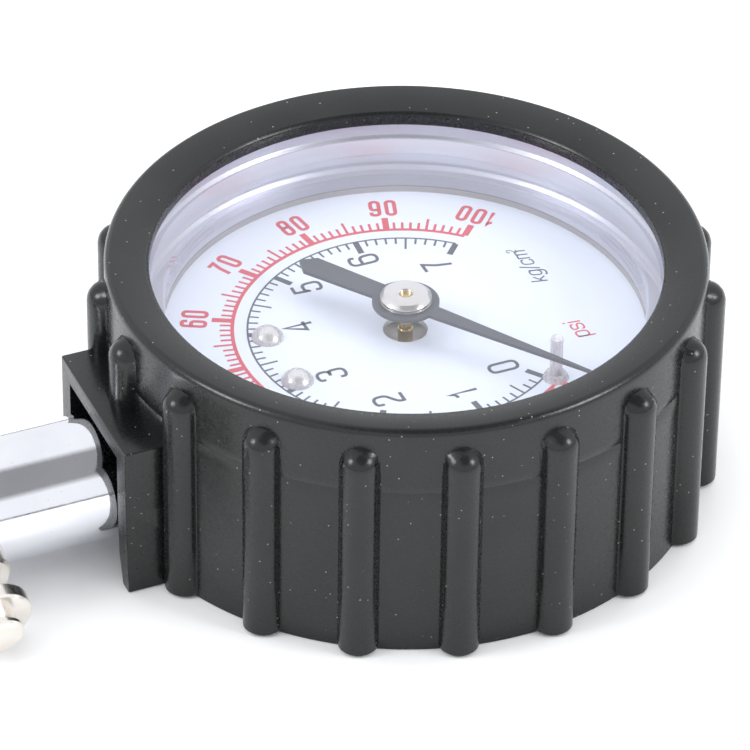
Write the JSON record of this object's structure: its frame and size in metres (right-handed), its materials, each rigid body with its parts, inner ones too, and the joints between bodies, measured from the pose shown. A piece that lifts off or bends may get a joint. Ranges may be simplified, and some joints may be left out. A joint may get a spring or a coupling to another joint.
{
  "type": "tire pressure gauge",
  "caption": "Round dial tyre pressure gauge in a ribbed rubber boot, with a chrome stem, a side bleed valve and a swivelling angled chuck.",
  "frame": {"origin": "on the dial's axis, at the boot's flat back", "axes": "+Z along the dial's axis towards the reader, +Y along the stem towards the chuck, +X at the dial's 3 o'clock"},
  "size_m": [0.0592, 0.1285, 0.0248],
  "materials": {
    "boot_rubber": "satin moulded rubber",
    "case_steel": "plain drawn steel",
    "clear_plastic": "clear moulded plastic",
    "seal_rubber": "matt",
    "dial_white": "satin white enamel with printed scales",
    "chrome": "polished chrome plate",
    "nickel": "turned and nickel plated",
    "brass": "turned",
    "tube_bronze": "drawn",
    "fibre": "pressed fibre",
    "pin_steel": "turned",
    "spring_steel": "drawn wire",
    "pointer_black": "satin black"
  },
  "bodies": {
    "gauge": {"rubber_boot": "boot_rubber", "case_cup": "case_steel", "lens": "clear_plastic", "lens_gasket": "seal_rubber", "dial_plate": "dial_white", "dial_screws": "chrome", "stop_pin": "clear_plastic", "socket_block": "brass", "sealing_washer": "fibre", "movement_bottom_plate": "brass", "movement_top_plate": "nickel", "movement_pillars": "brass", "plate_screws": "pin_steel", "bottom_screws": "pin_steel", "hairspring": "spring_steel", "hairspring_stud": "brass", "stem_tube": "chrome", "bleed_valve_body": "nickel", "bleed_spring": "spring_steel", "check_spring": "spring_steel", "swivel_nipple": "nickel", "swivel_oring": "seal_rubber", "swivel_clip": "spring_steel"},
    "pointer_set": {"pointer": "pointer_black", "pointer_hub": "nickel", "pinion_arbor": "brass", "hairspring_collet": "brass"},
    "sector": {"sector_gear": "brass", "sector_arbor": "pin_steel", "sector_pin": "pin_steel"},
    "link_bar": {"link": "nickel"},
    "pressure_tube": {"bourdon_tube": "tube_bronze", "tube_tip_cap": "brass", "tip_pin": "pin_steel"},
    "bleed_plug": {"bleed_button": "nickel", "bleed_plunger": "brass", "bleed_seal": "seal_rubber"},
    "check_valve": {"check_poppet": "brass"},
    "chuck": {"chuck_body": "chrome", "chuck_seal": "seal_rubber", "chuck_nose": "nickel", "depressor_pin": "brass"}
  },
  "joints": [
    {"name": "pointer_turn", "type": "hinge", "parent": "gauge", "child": "pointer_set", "pos_m": [0, 0, 0.014], "axis": [0, 0, -1], "range_deg": [0, 262], "deforming": ["hairspring"]},
    {"name": "sector_turn", "type": "hinge", "parent": "gauge", "child": "sector", "pos_m": [0.00862, -0.00723, 0.0112], "axis": [0, 0, 1], "range_deg": [0, 33]},
    {"name": "link_pivot", "type": "hinge", "parent": "sector", "child": "link_bar", "pos_m": [0.01069, -0.01088, 0.0103], "axis": [0, 0, -1], "range_deg": [0, 32.5]},
    {"name": "tube_flex", "type": "hinge", "parent": "gauge", "child": "pressure_tube", "pos_m": [-0.00385, 0.0181, 0.0075], "axis": [0, 0, 1], "range_deg": [0, 4.6]},
    {"name": "bleed_press", "type": "slide", "parent": "gauge", "child": "bleed_plug", "axis": [0.9613, 0, 0.2756], "range_m": [0, 0.0019], "stiffness_N_per_m": 1200, "springref_m": -0.002, "deforming": ["bleed_spring"]},
    {"name": "check_lift", "type": "slide", "parent": "gauge", "child": "check_valve", "axis": [0, -1, 0], "range_m": [0, 0.0015], "stiffness_N_per_m": 200, "springref_m": -0.001, "deforming": ["check_spring"]},
    {"name": "chuck_swivel", "type": "hinge", "parent": "gauge", "child": "chuck", "pos_m": [0, 0.07, 0.0075], "axis": [0, 1, 0], "continuous": true}
  ],
  "couplings": [
    {"joint": "sector_turn", "follows": "pointer_turn", "ratio": 0.125},
    {"joint": "link_pivot", "follows": "pointer_turn", "ratio": 0.12274},
    {"joint": "tube_flex", "follows": "pointer_turn", "ratio": 0.016981}
  ]
}
